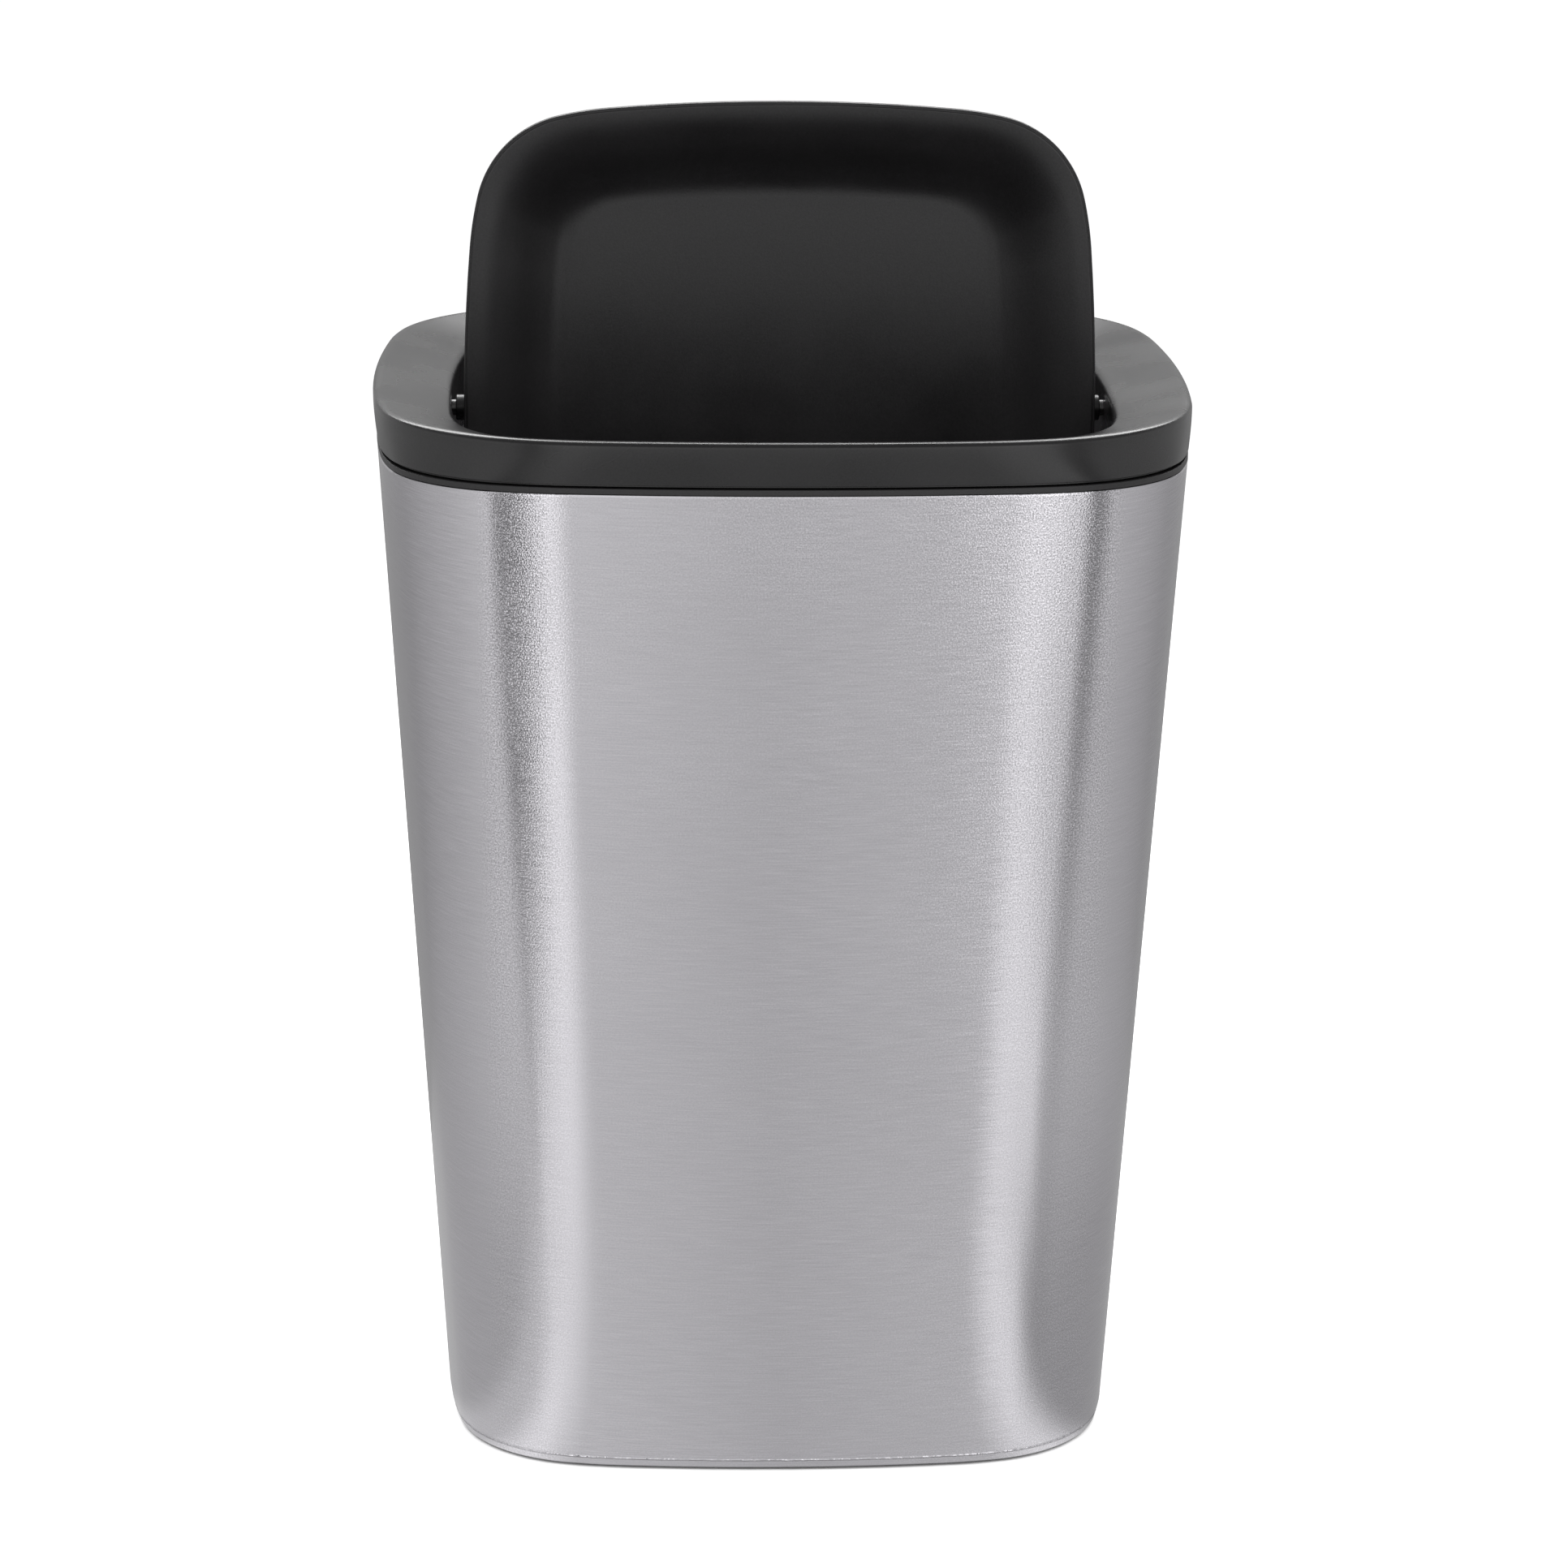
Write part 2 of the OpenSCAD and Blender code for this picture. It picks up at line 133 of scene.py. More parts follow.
def soft_square(outline, side_steps, corner_steps, seam):
    """Points (x, y, normal x, normal y) round a soft square, from the middle of the back."""
    half, bow, _ = outline
    start, end, mid, radius, place, tight = eased_corner(outline)
    ease_steps = max(4, corner_steps // 3)
    quarter_turn = math.pi / 2

    def arc(cx, cy, r, low, high, steps):
        return [(cx, cy, r, mix(low, high, i / steps)) for i in range(steps)]

    points = []
    for quarter in range(4):
        turn = quarter_turn * (quarter + 1)
        angles = [mix(-start, start, i / side_steps) for i in range(side_steps)]
        if quarter == 0:
            angles = sorted(angles + [s / bow for s in seam])
            first = angles.index(min(angles, key=abs))
        arcs = [(half - bow, 0.0, bow, a) for a in angles]
        arcs += arc(mid.x, mid.y, radius, start, end, ease_steps)
        arcs += arc(place, place, tight, end, quarter_turn - end, corner_steps)
        arcs += arc(mid.y, mid.x, radius, quarter_turn - end, quarter_turn - start, ease_steps)
        for cx, cy, r, a in arcs:
            x, y = cx + r * math.cos(a), cy + r * math.sin(a)
            c, s = math.cos(turn), math.sin(turn)
            nc, ns = math.cos(a + turn), math.sin(a + turn)
            points.append((x * c - y * s, x * s + y * c, nc, ns))
    return points[first:] + points[:first]


def loft(
    name,
    stations,
    capped=False,
    side_steps=12,
    corner_steps=18,
    seam=(),
    place=None,
    dent=None,
    unroll=None,
):
    """A skin through rings of points. Stations are (outline, level); a capped stack closes both ends."""
    rings = [soft_square(o, side_steps, corner_steps, seam) for o, _ in stations]
    count = len(rings[0])
    verts, along = [], []
    for i, (ring, (_, level)) in enumerate(zip(rings, stations)):
        s = 0.0
        lengths = []
        for k, (x, y, _, _) in enumerate(ring):
            if k:
                s += math.hypot(x - ring[k - 1][0], y - ring[k - 1][1])
            lengths.append(s)
        total = s + math.hypot(ring[0][0] - ring[-1][0], ring[0][1] - ring[-1][1])
        along.append([v / total for v in lengths] + [1.0])
        for k, (x, y, nx, ny) in enumerate(ring):
            deep = dent(i, lengths[k], total) if dent else 0.0
            p = (x - nx * deep, y - ny * deep, level)
            verts.append(place(p) if place else p)
    faces, corners = [], []
    spans = len(stations) - 1 if capped else len(stations)
    for i in range(spans):
        j = (i + 1) % len(stations)
        for k in range(count):
            n = (k + 1) % count
            faces.append(
                (i * count + k, i * count + n, j * count + n, j * count + k)
            )
            corners.append(((i, k), (i, k + 1), (j, k + 1), (j, k)))
    if capped:
        faces.append(tuple(range(count - 1, -1, -1)))
        corners.append(tuple((0, k) for k in range(count - 1, -1, -1)))
        last = len(stations) - 1
        faces.append(tuple(last * count + k for k in range(count)))
        corners.append(tuple((last, k) for k in range(count)))
    mesh = bpy.data.meshes.new(name)
    mesh.from_pydata(verts, [], faces)
    if unroll:
        layer = mesh.uv_layers.new(name="brush")
        index = 0
        for face in corners:
            for i, k in face:
                layer.data[index].uv = unroll(along[i][k], stations[i][1])
                index += 1
    return mesh


def revolve(name, profile, steps=48):
    """A solid of revolution about X from (x, radius) points, closed at both ends."""
    verts = []
    for x, radius in profile:
        for k in range(steps):
            a = 2 * math.pi * k / steps
            verts.append((x, radius * math.cos(a), radius * math.sin(a)))
    faces = []
    for i in range(len(profile) - 1):
        for k in range(steps):
            n = (k + 1) % steps
            faces.append(
                (i * steps + k, i * steps + n, (i + 1) * steps + n, (i + 1) * steps + k)
            )
    faces.append(tuple(range(steps)))
    last = (len(profile) - 1) * steps
    faces.append(tuple(last + k for k in range(steps - 1, -1, -1)))
    mesh = bpy.data.meshes.new(name)
    mesh.from_pydata(verts, [], [f[::-1] for f in faces])
    return mesh


def prism(name, outline, depth, bevel):
    """An extruded outline in XY from z = 0 to depth, its long edges taken off by a small bevel."""
    count = len(outline)
    levels = [(bevel, 0.0), (0.0, bevel), (0.0, depth - bevel), (bevel, depth)]
    verts = []
    for shrink, z in levels:
        for k, p in enumerate(outline):
            before, after = outline[k - 1], outline[(k + 1) % count]
            edge_a = Vector((p[0] - before[0], p[1] - before[1])).normalized()
            edge_b = Vector((after[0] - p[0], after[1] - p[1])).normalized()
            inward = Vector((-edge_a.y - edge_b.y, edge_a.x + edge_b.x))
            if inward.length > 1e-9:
                inward.normalize()
            verts.append((p[0] + inward.x * shrink, p[1] + inward.y * shrink, z))
    faces = [tuple(range(count - 1, -1, -1))]
    for i in range(len(levels) - 1):
        for k in range(count):
            n = (k + 1) % count
            faces.append(
                (i * count + k, i * count + n, (i + 1) * count + n, (i + 1) * count + k)
            )
    last = (len(levels) - 1) * count
    faces.append(tuple(last + k for k in range(count)))
    mesh = bpy.data.meshes.new(name)
    mesh.from_pydata(verts, [], faces)
    return mesh


def placed(mesh, place):
    """The mesh with every vertex moved by a function of its place."""
    for v in mesh.vertices:
        v.co = place(v.co)
    return mesh


def joined(name, meshes):
    """One mesh from several."""
    verts, faces = [], []
    for mesh in meshes:
        base = len(verts)
        verts += [tuple(v.co) for v in mesh.vertices]
        faces += [tuple(base + i for i in p.vertices) for p in mesh.polygons]
    whole = bpy.data.meshes.new(name)
    whole.from_pydata(verts, [], faces)
    return whole


def piece(mesh, body, nodes, material, crease=40):
    """Puts a finished mesh in the scene: smooth, with its sharp edges kept, riding on a body."""
    mesh.validate()
    mesh.polygons.foreach_set("use_smooth", [True] * len(mesh.polygons))
    mesh.set_sharp_from_angle(angle=math.radians(crease))
    mesh.materials.append(material)
    obj = bpy.data.objects.new(mesh.name, mesh)
    bpy.context.scene.collection.objects.link(obj)
    even = obj.modifiers.new("even normals", "WEIGHTED_NORMAL")
    even.keep_sharp = True
    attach(obj, body)
    if nodes:
        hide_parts(*nodes)


# Materials


class Graph:
    """The node tree of a material or world, with short ways to add and join nodes."""

    def __init__(self, owner, output="ShaderNodeOutputMaterial"):
        self.owner = owner
        owner.use_nodes = True
        self.tree = owner.node_tree
        self.tree.nodes.clear()
        self.output = self.tree.nodes.new(output)

    def add(self, kind, inputs=None, **settings):
        made = self.tree.nodes.new(kind)
        for key, value in settings.items():
            setattr(made, key, value)
        for key, value in (inputs or {}).items():
            if isinstance(value, bpy.types.NodeSocket):
                self.tree.links.new(value, made.inputs[key])
            else:
                made.inputs[key].default_value = value
        return made

    def math(self, operation, a, b=0.0, c=0.0):
        return self.add(
            "ShaderNodeMath", {0: a, 1: b, 2: c}, operation=operation
        ).outputs[0]

    def noise(self, vector, scale, detail=2.0, roughness=0.5):
        return self.add(
            "ShaderNodeTexNoise",
            {"Vector": vector, "Scale": scale, "Detail": detail, "Roughness": roughness},
        ).outputs["Fac"]

    def stretch(self, vector, scale, turn=0.0):
        return self.add(
            "ShaderNodeMapping",
            {"Vector": vector, "Scale": scale, "Rotation": (0.0, 0.0, turn)},
        ).outputs[0]

    def ramp(self, fac, stops):
        made = self.add("ShaderNodeValToRGB", {"Fac": fac})
        elements = made.color_ramp.elements
        while len(elements) < len(stops):
            elements.new(0.5)
        for element, (place, color) in zip(elements, stops):
            element.position = place
            element.color = (*color, 1.0)
        return made.outputs["Color"]

    def bump(self, height, distance, normal=None):
        inputs = {"Height": height, "Distance": distance, "Strength": 1.0}
        if normal is not None:
            inputs["Normal"] = normal
        return self.add("ShaderNodeBump", inputs).outputs[0]

    def finish(self, shader):
        self.tree.links.new(shader, self.output.inputs["Surface"])
        return self.owner


def grey(value, tint=(1.0, 1.0, 1.0)):
    return tuple(value * t for t in tint)


def between(g, value, span, low=0.0, high=1.0):
    """Low at the start of a span, high at its end, and held beyond them."""
    return g.add(
        "ShaderNodeMapRange",
        {"Value": value, "From Min": span[0], "From Max": span[1], "To Min": low, "To Max": high},
    ).outputs[0]


def inside(g, value, low, high, soft):
    """1 between two limits, fading to 0 beyond them."""
    rise = between(g, value, (low - soft, low + soft))
    fall = between(g, value, (high + soft, high - soft))
    return g.math("MULTIPLY", rise, fall)


STEEL_TINT = (1.0, 0.98, 1.03)


def peel_and_glint_strength(g, place, parts):
    """The orange peel's bump, and its glints painted as specks in the colour, are strongest near the top
    at the front's corners, where the highlight strips fall, and come in patches.
    """
    upper = between(g, parts["Z"], (0.07, 0.18), 0.35, 1.0)
    right = between(g, parts["X"], (0.015, 0.048), 0.0, 0.7)
    left = between(g, parts["X"], (-0.040, -0.049), 0.0, 0.7)
    patch = between(g, g.noise(place, 22.0, 1.0), (0.35, 0.65), 0.1, 0.35)
    front = inside(g, parts["X"], -0.059, 0.063, 0.002)
    grain = g.math("MULTIPLY", upper, g.math("ADD", patch, g.math("ADD", right, left)))
    return g.math("MAXIMUM", g.math("MULTIPLY", grain, front), 0.08)


def brushed_face(g, tangent, hair):
    """Each brush line turns the sheet's face a little to the left or right."""
    lean = g.math("MULTIPLY", g.math("SUBTRACT", hair, 0.5), 0.09)
    turned = g.add("ShaderNodeVectorMath", {0: tangent, 3: lean}, operation="SCALE").outputs[0]
    face = g.add("ShaderNodeNewGeometry").outputs["Normal"]
    leaning = g.add("ShaderNodeVectorMath", {0: face, 1: turned}, operation="ADD").outputs[0]
    return g.add("ShaderNodeVectorMath", {0: leaning}, operation="NORMALIZE").outputs[0]


def crimp_wrinkles(g, place, parts):
    """Fine wrinkles where the sheet is crimped over the base."""
    hem_top = HEM_Z + HEM_H
    crimp = inside(g, parts["Z"], hem_top - 0.35 * MM, hem_top + 0.1 * MM, 0.1 * MM)
    return g.math("MULTIPLY", g.noise(place, 800.0, 1.0), crimp)


def brushed_steel(name, tilt):
    """Fine brushing along the unrolled sheet, under a lacquer with slight orange peel, its glints partly
    painted as bright and dark specks in the colour.
    """
    g = Graph(bpy.data.materials.new(name))
    flat = g.add("ShaderNodeUVMap", uv_map="brush").outputs[0]
    hair = g.noise(g.stretch(flat, (120.0, 4200.0, 1.0), -tilt), 1.0, 2.0, 0.6)
    broad = g.noise(g.stretch(flat, (26.0, 1500.0, 1.0), -tilt), 1.0, 3.0, 0.6)
    cloud = g.noise(g.stretch(flat, (14.0, 24.0, 1.0)), 1.0, 2.0)
    peel = g.noise(g.stretch(flat, (3000.0, 3000.0, 1.0)), 1.0, 1.0, 0.6)
    place = g.add("ShaderNodeTexCoord").outputs["Object"]
    parts = g.add("ShaderNodeSeparateXYZ", {"Vector": place}).outputs
    grain = peel_and_glint_strength(g, place, parts)
    streak = g.math("ADD", g.math("MULTIPLY", hair, 0.8), g.math("MULTIPLY", broad, 0.2))
    tone = g.math("ADD", g.math("MULTIPLY", streak, 0.8), g.math("MULTIPLY", cloud, 0.2))
    # Painted glints: the orange peel's bright and dark specks go into the colour as well as into the
    # bump.
    painted_glint_speck = g.math("MULTIPLY", grain, g.math("SUBTRACT", peel, 0.5))
    tone = g.math("MULTIPLY_ADD", painted_glint_speck, 2.2, g.math("MULTIPLY_ADD", tone, 0.4, 0.3))
    stops = ((0.15, 0.40), (0.5, 0.60), (0.85, 0.88))
    color = g.ramp(tone, [(at, grey(level, STEEL_TINT)) for at, level in stops])
    tangent = g.add("ShaderNodeTangent", direction_type="UV_MAP", uv_map="brush").outputs[0]
    normal = g.bump(g.math("MULTIPLY", peel, grain), 5e-5, brushed_face(g, tangent, hair))
    normal = g.bump(crimp_wrinkles(g, place, parts), 4e-4, normal)
    shader = g.add(
        "ShaderNodeBsdfPrincipled",
        {
            "Base Color": color,
            "Metallic": 1.0,
            "Roughness": between(g, streak, (0.3, 0.7), 0.16, 0.22),
            "Anisotropic": 0.95,
            "Anisotropic Rotation": 0.25 + tilt / (2 * math.pi),
            "Tangent": tangent,
            "Normal": g.bump(hair, 3e-6, normal),
        },
    )
    return g.finish(shader.outputs[0])


def black_plastic(name, base, rough, grain, grain_depth, tint=(1.0, 0.96, 1.02)):
    """Moulded black plastic with a fine spark texture and a faint cloudiness in tone and gloss."""
    g = Graph(bpy.data.materials.new(name))
    place = g.add("ShaderNodeTexCoord").outputs["Object"]
    spark = g.noise(place, grain, 2.0, 0.6)
    cloud = g.noise(place, 45.0, 3.0)
    tone = g.math("ADD", g.math("MULTIPLY", spark, 0.6), g.math("MULTIPLY", cloud, 0.4))
    color = g.ramp(tone, [(0.3, grey(base * 0.72, tint)), (0.7, grey(base * 1.35, tint))])
    shader = g.add(
        "ShaderNodeBsdfPrincipled",
        {
            "Base Color": color,
            "Roughness": between(g, cloud, (0.3, 0.7), rough - 0.04, rough + 0.05),
            "IOR": 1.5,
            "Normal": g.bump(spark, grain_depth),
        },
    )
    return g.finish(shader.outputs[0])


def plain_steel(name, base, rough):
    """Mill finish or drawn steel: soft drawing lines along X and a little mottling."""
    g = Graph(bpy.data.materials.new(name))
    place = g.add("ShaderNodeTexCoord").outputs["Object"]
    lines = g.noise(g.stretch(place, (60.0, 2600.0, 2600.0)), 1.0, 2.0)
    mottle = g.noise(place, 160.0, 3.0)
    tone = g.math("ADD", g.math("MULTIPLY", lines, 0.5), g.math("MULTIPLY", mottle, 0.5))
    color = g.ramp(tone, [(0.3, grey(base * 0.82)), (0.7, grey(base * 1.1))])
    shader = g.add(
        "ShaderNodeBsdfPrincipled",
        {
            "Base Color": color,
            "Metallic": 1.0,
            "Roughness": between(g, mottle, (0.0, 1.0), rough - 0.08, rough + 0.1),
            "Normal": g.bump(lines, 3e-6),
        },
    )
    return g.finish(shader.outputs[0])


BRUSH_TILT = math.radians(5)

steel = brushed_steel("brushed_steel", BRUSH_TILT)
black_lid = black_plastic("black_lid", 0.020, 0.27, 3200.0, 8e-6)
black_flap = black_plastic("black_flap", 0.029, 0.36, 2600.0, 1.4e-5)
black_trim = black_plastic("black_trim", 0.028, 0.45, 3000.0, 8e-6)
base_sheet = plain_steel("base_sheet", 0.5, 0.4)
# The pins' steel is darkened to a base of 0.22 as painted shade, for pins that sit in shadow at the
# hinge beside the throat's wall.
pin_steel = plain_steel("pin_steel", 0.22, 0.42)

# Steel wrap

HEM_STEP = 0.25 * MM
HEM_R = 0.9 * MM
HEM_IN = HEM_STEP + HEM_R + 5.5 * MM
# The groove over the hem, as (share of the hem's step, height in mm above the hem)
HEM_GROOVE = ((0.5, -0.45), (0.5, -0.34), (1.0, -0.12), (1.15, 0.0), (1.0, 0.08), (0.2, 0.2))
EDGE_LIP = 0.12 * MM
FOLD_D = 0.16 * MM
SEAM_D = 0.2 * MM
SEAM_HALF_W = 0.3 * MM


def arc_share(steps, angle=math.pi / 2):
    """Angles from 0 to a last one in equal steps."""
    return [angle * i / steps for i in range(steps + 1)]


def wrap_outside():
    """The wrap's outer profile: out along the flange, up the hem and the wall, over the edge."""
    hem_top = HEM_Z + HEM_H
    wall_z = hem_top + HEM_STEP * 1.2
    lip = EDGE_LIP
    stations = [(wrap_at(HEM_Z, HEM_IN), HEM_Z)]
    stations += [
        (wrap_at(HEM_Z, HEM_STEP + HEM_R * (1 - math.sin(a))), HEM_Z + HEM_R * (1 - math.cos(a)))
        for a in arc_share(6)
    ]
    stations += [
        (wrap_at(hem_top, HEM_STEP * share), hem_top + rise * MM) for share, rise in HEM_GROOVE
    ]
    stations.append((wrap_at(wall_z), wall_z))
    for i in range(1, 15):
        z = mix(wall_z + 1 * MM, BODY_H - 0.6 * MM, i / 14)
        stations.append((wrap_at(z), z))
    stations += [
        (wrap_at(BODY_H), BODY_H - lip),
        (wrap_at(BODY_H, lip), BODY_H),
        (wrap_at(BODY_H, SHEET - lip), BODY_H),
        (wrap_at(BODY_H, SHEET), BODY_H - lip),
    ]
    return stations


def wrap_inside():
    """The wrap's inner profile: down the wall, round the hem's fillet and in along the flange."""
    hem_top = HEM_Z + HEM_H
    fillet = HEM_R - SHEET
    seat = HEM_Z + SHEET
    stations = []
    for i in range(6):
        z = mix(BODY_H - 1 * MM, hem_top + HEM_STEP, i / 5)
        stations.append((wrap_at(z, SHEET), z))
    stations.append((wrap_at(hem_top, HEM_STEP + SHEET), hem_top))
    stations += [
        (wrap_at(HEM_Z, HEM_STEP + HEM_R - fillet * math.sin(a)), seat + fillet * (1 - math.cos(a)))
        for a in reversed(arc_share(4))
    ]
    stations.append((wrap_at(HEM_Z, HEM_IN), seat))
    return stations


def pucker(s, total):
    """Depth of the small folds that the crimping leaves, from 0 to 1, round the hem."""
    turn = 2 * math.pi * s / total
    x, y = math.cos(turn), math.sin(turn)
    coarse = noise.noise(Vector((x * 18, y * 18, 0.3)))
    fine = noise.noise(Vector((x * 46, y * 46, 4.1)))
    return max(0.0, 0.5 + coarse * 0.9 + fine * 0.7)


OUTSIDE = wrap_outside()
STATIONS = OUTSIDE + wrap_inside()


def wrap_dent(i, s, total):
    """How far a point of the wrap lies in from its outline: hem folds and the weld seam."""
    level = STATIONS[i][1]
    out = 1 <= i < len(OUTSIDE)
    if out and HEM_Z + 0.2 * MM < level <= HEM_Z + HEM_H + 0.6 * MM:
        share = (level - HEM_Z) / HEM_H
        return FOLD_D * math.sin(math.pi * min(1.0, share * 0.8)) * pucker(s, total)
    if out and level > HEM_Z + HEM_H + HEM_R:
        off = min(s, total - s)
        if off < SEAM_HALF_W:
            return SEAM_D * (1 - (off / SEAM_HALF_W) ** 4)
    return 0.0


# The unrolled sheet is part of a ring: its angle, and the radius of its lower edge
perimeter_foot = 501.6 * MM
perimeter_top = 597.0 * MM
slant = BODY_H / math.cos(math.atan((TOP[0] - FOOT[0]) / BODY_H))
FAN = (perimeter_top - perimeter_foot) / slant
APEX = perimeter_foot / FAN


def unroll(share, z):
    """The sheet's flat coordinates, as if the tapered wrap were opened out from the back."""
    radius = APEX + z * slant / BODY_H
    angle = (share - 0.5) * FAN
    return (radius * math.sin(angle), radius * math.cos(angle) - APEX)


seam_columns = [x * MM for x in (-0.45, -0.3, -0.24, -0.12, 0.12, 0.24, 0.3, 0.45)]
wrap_mesh = loft(
    "steel_wrap",
    STATIONS,
    side_steps=80,
    corner_steps=60,
    seam=seam_columns,
    dent=wrap_dent,
    unroll=unroll,
)
piece(wrap_mesh, "bin", ["body_wrap"], steel, 50)

# Base pan and foot ring

PAN_T = 0.6 * MM
PAN_RISE = 2.4 * MM


def base_pan_stations():
    """A tray with an upright wall inside the hem and a raised middle."""
    gap = HEM_STEP + SHEET + CLIP_GAP
    low = pan_low.z
    wall = pan_high.z
    bend = HEM_R
    middle = HEM_IN + 2 * MM
    under = [(wrap_at(0, middle), low + PAN_RISE), (wrap_at(0, HEM_IN), low + PAN_RISE)]
    under += [(wrap_at(0, HEM_IN - PAN_RISE), low)]
    under += [
        (wrap_at(low, gap + bend * (1 - math.sin(a))), low + bend * (1 - math.cos(a)))
        for a in arc_share(5)
    ]
    over = [(wrap_at(wall, gap), wall), (wrap_at(wall, gap + PAN_T), wall)]
    over += [
        (
            wrap_at(low, gap + bend - (bend - PAN_T) * math.sin(a)),
            low + PAN_T + (bend - PAN_T) * (1 - math.cos(a)),
        )
        for a in reversed(arc_share(4))
    ]
    over += [
        (wrap_at(0, HEM_IN - PAN_RISE - PAN_T / 2), low + PAN_T),
        (wrap_at(0, HEM_IN - PAN_T / 2), low + PAN_RISE + PAN_T),
        (wrap_at(0, middle), low + PAN_RISE + PAN_T),
    ]
    return under + over


pan_mesh = loft("base_tray", base_pan_stations(), capped=True)
piece(pan_mesh, "bin", ["base_pan"], base_sheet)

TREAD_IN = 3 * MM
TREAD_WALL = 1.6 * MM
BARB = 0.35 * MM


def foot_stations():
    """A tread under the hem, with a wall inside the flange and a barb that grips over it."""
    out = HEM_IN + CLIP_GAP
    inner = out + TREAD_WALL
    tread = HEM_Z - CLIP_GAP
    barb = HEM_Z + SHEET + CLIP_GAP
    edge = 0.2 * MM
    soft = 0.06 * MM
    return [
        (wrap_at(0, inner - edge), 0.0),
        (wrap_at(0, TREAD_IN + edge), 0.0),
        (wrap_at(0, TREAD_IN + soft), soft),
        (wrap_at(0, TREAD_IN), edge),
        (wrap_at(0, TREAD_IN), tread - soft),
        (wrap_at(0, TREAD_IN + soft), tread),
        (wrap_at(0, out), tread),
        (wrap_at(0, out), barb),
        (wrap_at(0, out - BARB), barb + edge),
        (wrap_at(0, out), barb + edge + 2 * BARB),
        (wrap_at(0, out), foot_high.z),
        (wrap_at(0, inner), foot_high.z),
        (wrap_at(0, inner), edge),
        (wrap_at(0, inner - soft), soft),
    ]


foot_mesh = loft("foot_tread", foot_stations())
piece(foot_mesh, "bin", ["foot_ring"], black_trim)

# Rim collar

COLLAR_T = 1.2 * MM


def collar_stations():
    """A trim on the steel's edge with a skirt inside the wall."""
    skirt = SHEET + CLIP_GAP
    low = BODY_H + CLIP_GAP
    edge = 0.2 * MM
    soft = 0.1 * MM
    stations = [(wrap_at(collar_low.z, skirt), collar_low.z), (wrap_at(BODY_H, skirt), low)]
    stations += [(wrap_at(BODY_H, soft), low), (wrap_at(BODY_H), low + soft)]
    stations += [
        (wrap_at(BODY_H, edge * (1 - math.cos(a))), COLLAR_Z - edge * (1 - math.sin(a)))
        for a in arc_share(3)
    ]
    inner = skirt + COLLAR_T
    stations += [
        (wrap_at(BODY_H, inner - edge * (1 - math.sin(a))), COLLAR_Z - edge * (1 - math.cos(a)))
        for a in arc_share(3)
    ]
    stations += [
        (wrap_at(collar_low.z, inner), collar_low.z + soft),
        (wrap_at(collar_low.z, inner - soft), collar_low.z),
    ]
    return stations


collar_mesh = loft("rim_trim", collar_stations(), corner_steps=28)
piece(collar_mesh, "bin", ["rim_collar"], black_trim)

# Lid frame

SLOPE = math.radians(12.5)
BAND_Z = COLLAR_Z + SEAM_GAP
EDGE_R = 1.0 * MM
# The ring's upper edge is slightly crowned inside its rounded corner
CROWN_R = 2.6 * MM
CROWN_START = math.radians(-19)
ROLL_R = 1.6 * MM
FRAME_T = 1.8 * MM
FRAME_EDGE = 0.25 * MM
PLUG_T = 1.4 * MM
PLUG_Z = BAND_Z - 8.5 * MM
SEAM_STEP = 0.7 * MM
BAND_T = 1.8 * MM
SEAT_GAP = 0.3 * MM
PLUG_GAP = 0.4 * MM
RIB_T = 1.2 * MM
RIB_OFF = 24 * MM
BOSS_R = 4.2 * MM
BOSS_X = THROAT[0] + FRAME_T + 4.5 * MM
BORE_DEPTH = 1 * MM

roll_x = THROAT[0] + ROLL_R * (1 + math.sin(SLOPE))
roll_top = RING_Z - (RING[0] - EDGE_R - roll_x) * math.tan(SLOPE)
roll_z = roll_top - ROLL_R * math.cos(SLOPE)
under_z = roll_top - FRAME_T / math.cos(SLOPE)
plug_in = SHEET + CLIP_GAP + COLLAR_T + PLUG_GAP
plug_top = under_z + (TOP[0] - plug_in - roll_x) * math.tan(SLOPE)


def band_stations():
    """The band's outer face, its rounded corner and the crown inside it."""
    edge = FRAME_EDGE
    crown_z = RING_Z - CROWN_R
    crown_in = EDGE_R * (1 + math.sin(CROWN_START)) - CROWN_R * math.sin(CROWN_START)
    top = crown_z + (CROWN_R - EDGE_R) * math.cos(CROWN_START)
    stations = [
        (inset(BAND, edge * (1 - math.sin(a))), BAND_Z + edge * (1 - math.cos(a)))
        for a in arc_share(3)
    ]
    stations += [
        (mix(BAND, RING, math.sin(math.pi / 2 * i / 10)), mix(BAND_Z + edge, top, i / 10))
        for i in range(1, 11)
    ]
    stations += [
        (inset(RING, EDGE_R * (1 - math.cos(a))), top + EDGE_R * math.sin(a))
        for a in arc_share(6, math.pi / 2 + CROWN_START)[1:]
    ]
    crown = [mix(CROWN_START, SLOPE, i / 8) for i in range(1, 9)]
    stations += [
        (inset(RING, crown_in + CROWN_R * math.sin(a)), crown_z + CROWN_R * math.cos(a))
        for a in crown
    ]
    return stations


